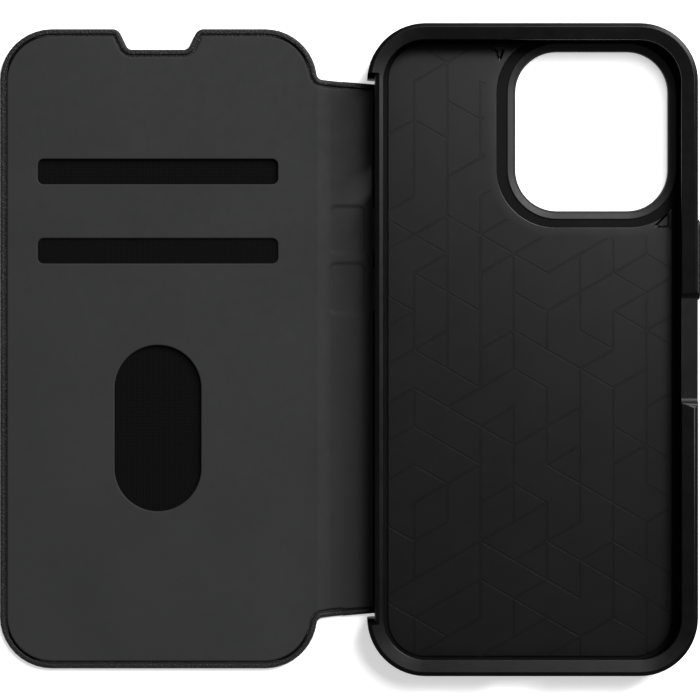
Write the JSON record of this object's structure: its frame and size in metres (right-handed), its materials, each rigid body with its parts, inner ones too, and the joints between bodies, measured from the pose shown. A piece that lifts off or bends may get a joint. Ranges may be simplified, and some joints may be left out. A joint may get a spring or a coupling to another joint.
{
  "type": "phone wallet case",
  "caption": "Book-style phone case with a lipped tray for the phone, a hinged spine and a cover whose lining holds cards behind two slots and a thumb window.",
  "frame": {"origin": "centre of the shell's rear leather face, which rests on the table when the case lies open", "axes": "+X towards the catch side, away from the cover; +Y towards the camera end; +Z out of the tray, away from the table"},
  "size_m": [0.166, 0.153, 0.0111],
  "materials": {
    "outer_leather": "fine pebbled grain, low sheen",
    "lining": "smooth matt microfibre",
    "hard_shell": "fine satin texture",
    "soft_rim": "smooth soft touch",
    "floor_pad": "matt with debossed lines",
    "camera_trim": "satin bevel",
    "weave": "fine plain weave",
    "board": "fibre board",
    "steel": "plated"
  },
  "bodies": {
    "shell": {"back_leather": "outer_leather", "rear_shell": "hard_shell", "rim_bumper": "soft_rim", "floor_liner": "floor_pad", "camera_bezel": "camera_trim", "upper_keeper": "steel", "lower_keeper": "steel"},
    "volume_up": {"volume_up_key": "soft_rim"},
    "volume_down": {"volume_down_key": "soft_rim"},
    "side_button": {"side_key": "soft_rim"},
    "spine": {"spine_leather": "outer_leather", "spine_stiffener": "board", "spine_lining": "lining"},
    "cover": {"cover_leather": "outer_leather", "cover_board": "board", "cover_lining": "lining", "upper_card_pocket": "weave", "lower_card_pocket": "weave", "upper_magnet": "steel", "lower_magnet": "steel"}
  },
  "joints": [
    {"name": "spine_fold", "type": "hinge", "parent": "shell", "child": "spine", "pos_m": [-0.0385, 0, 0], "axis": [0, 1, 0], "range_deg": [-175, 90]},
    {"name": "cover_fold", "type": "hinge", "parent": "spine", "child": "cover", "pos_m": [-0.0506, 0, 0.00125], "axis": [0, 1, 0], "range_deg": [0, 90]},
    {"name": "volume_up_press", "type": "slide", "parent": "shell", "child": "volume_up", "axis": [1, 0, 0], "range_m": [0, 0.00035], "stiffness_N_per_m": 3000},
    {"name": "volume_down_press", "type": "slide", "parent": "shell", "child": "volume_down", "axis": [1, 0, 0], "range_m": [0, 0.00035], "stiffness_N_per_m": 3000},
    {"name": "side_press", "type": "slide", "parent": "shell", "child": "side_button", "axis": [-1, 0, 0], "range_m": [0, 0.00035], "stiffness_N_per_m": 3000}
  ]
}
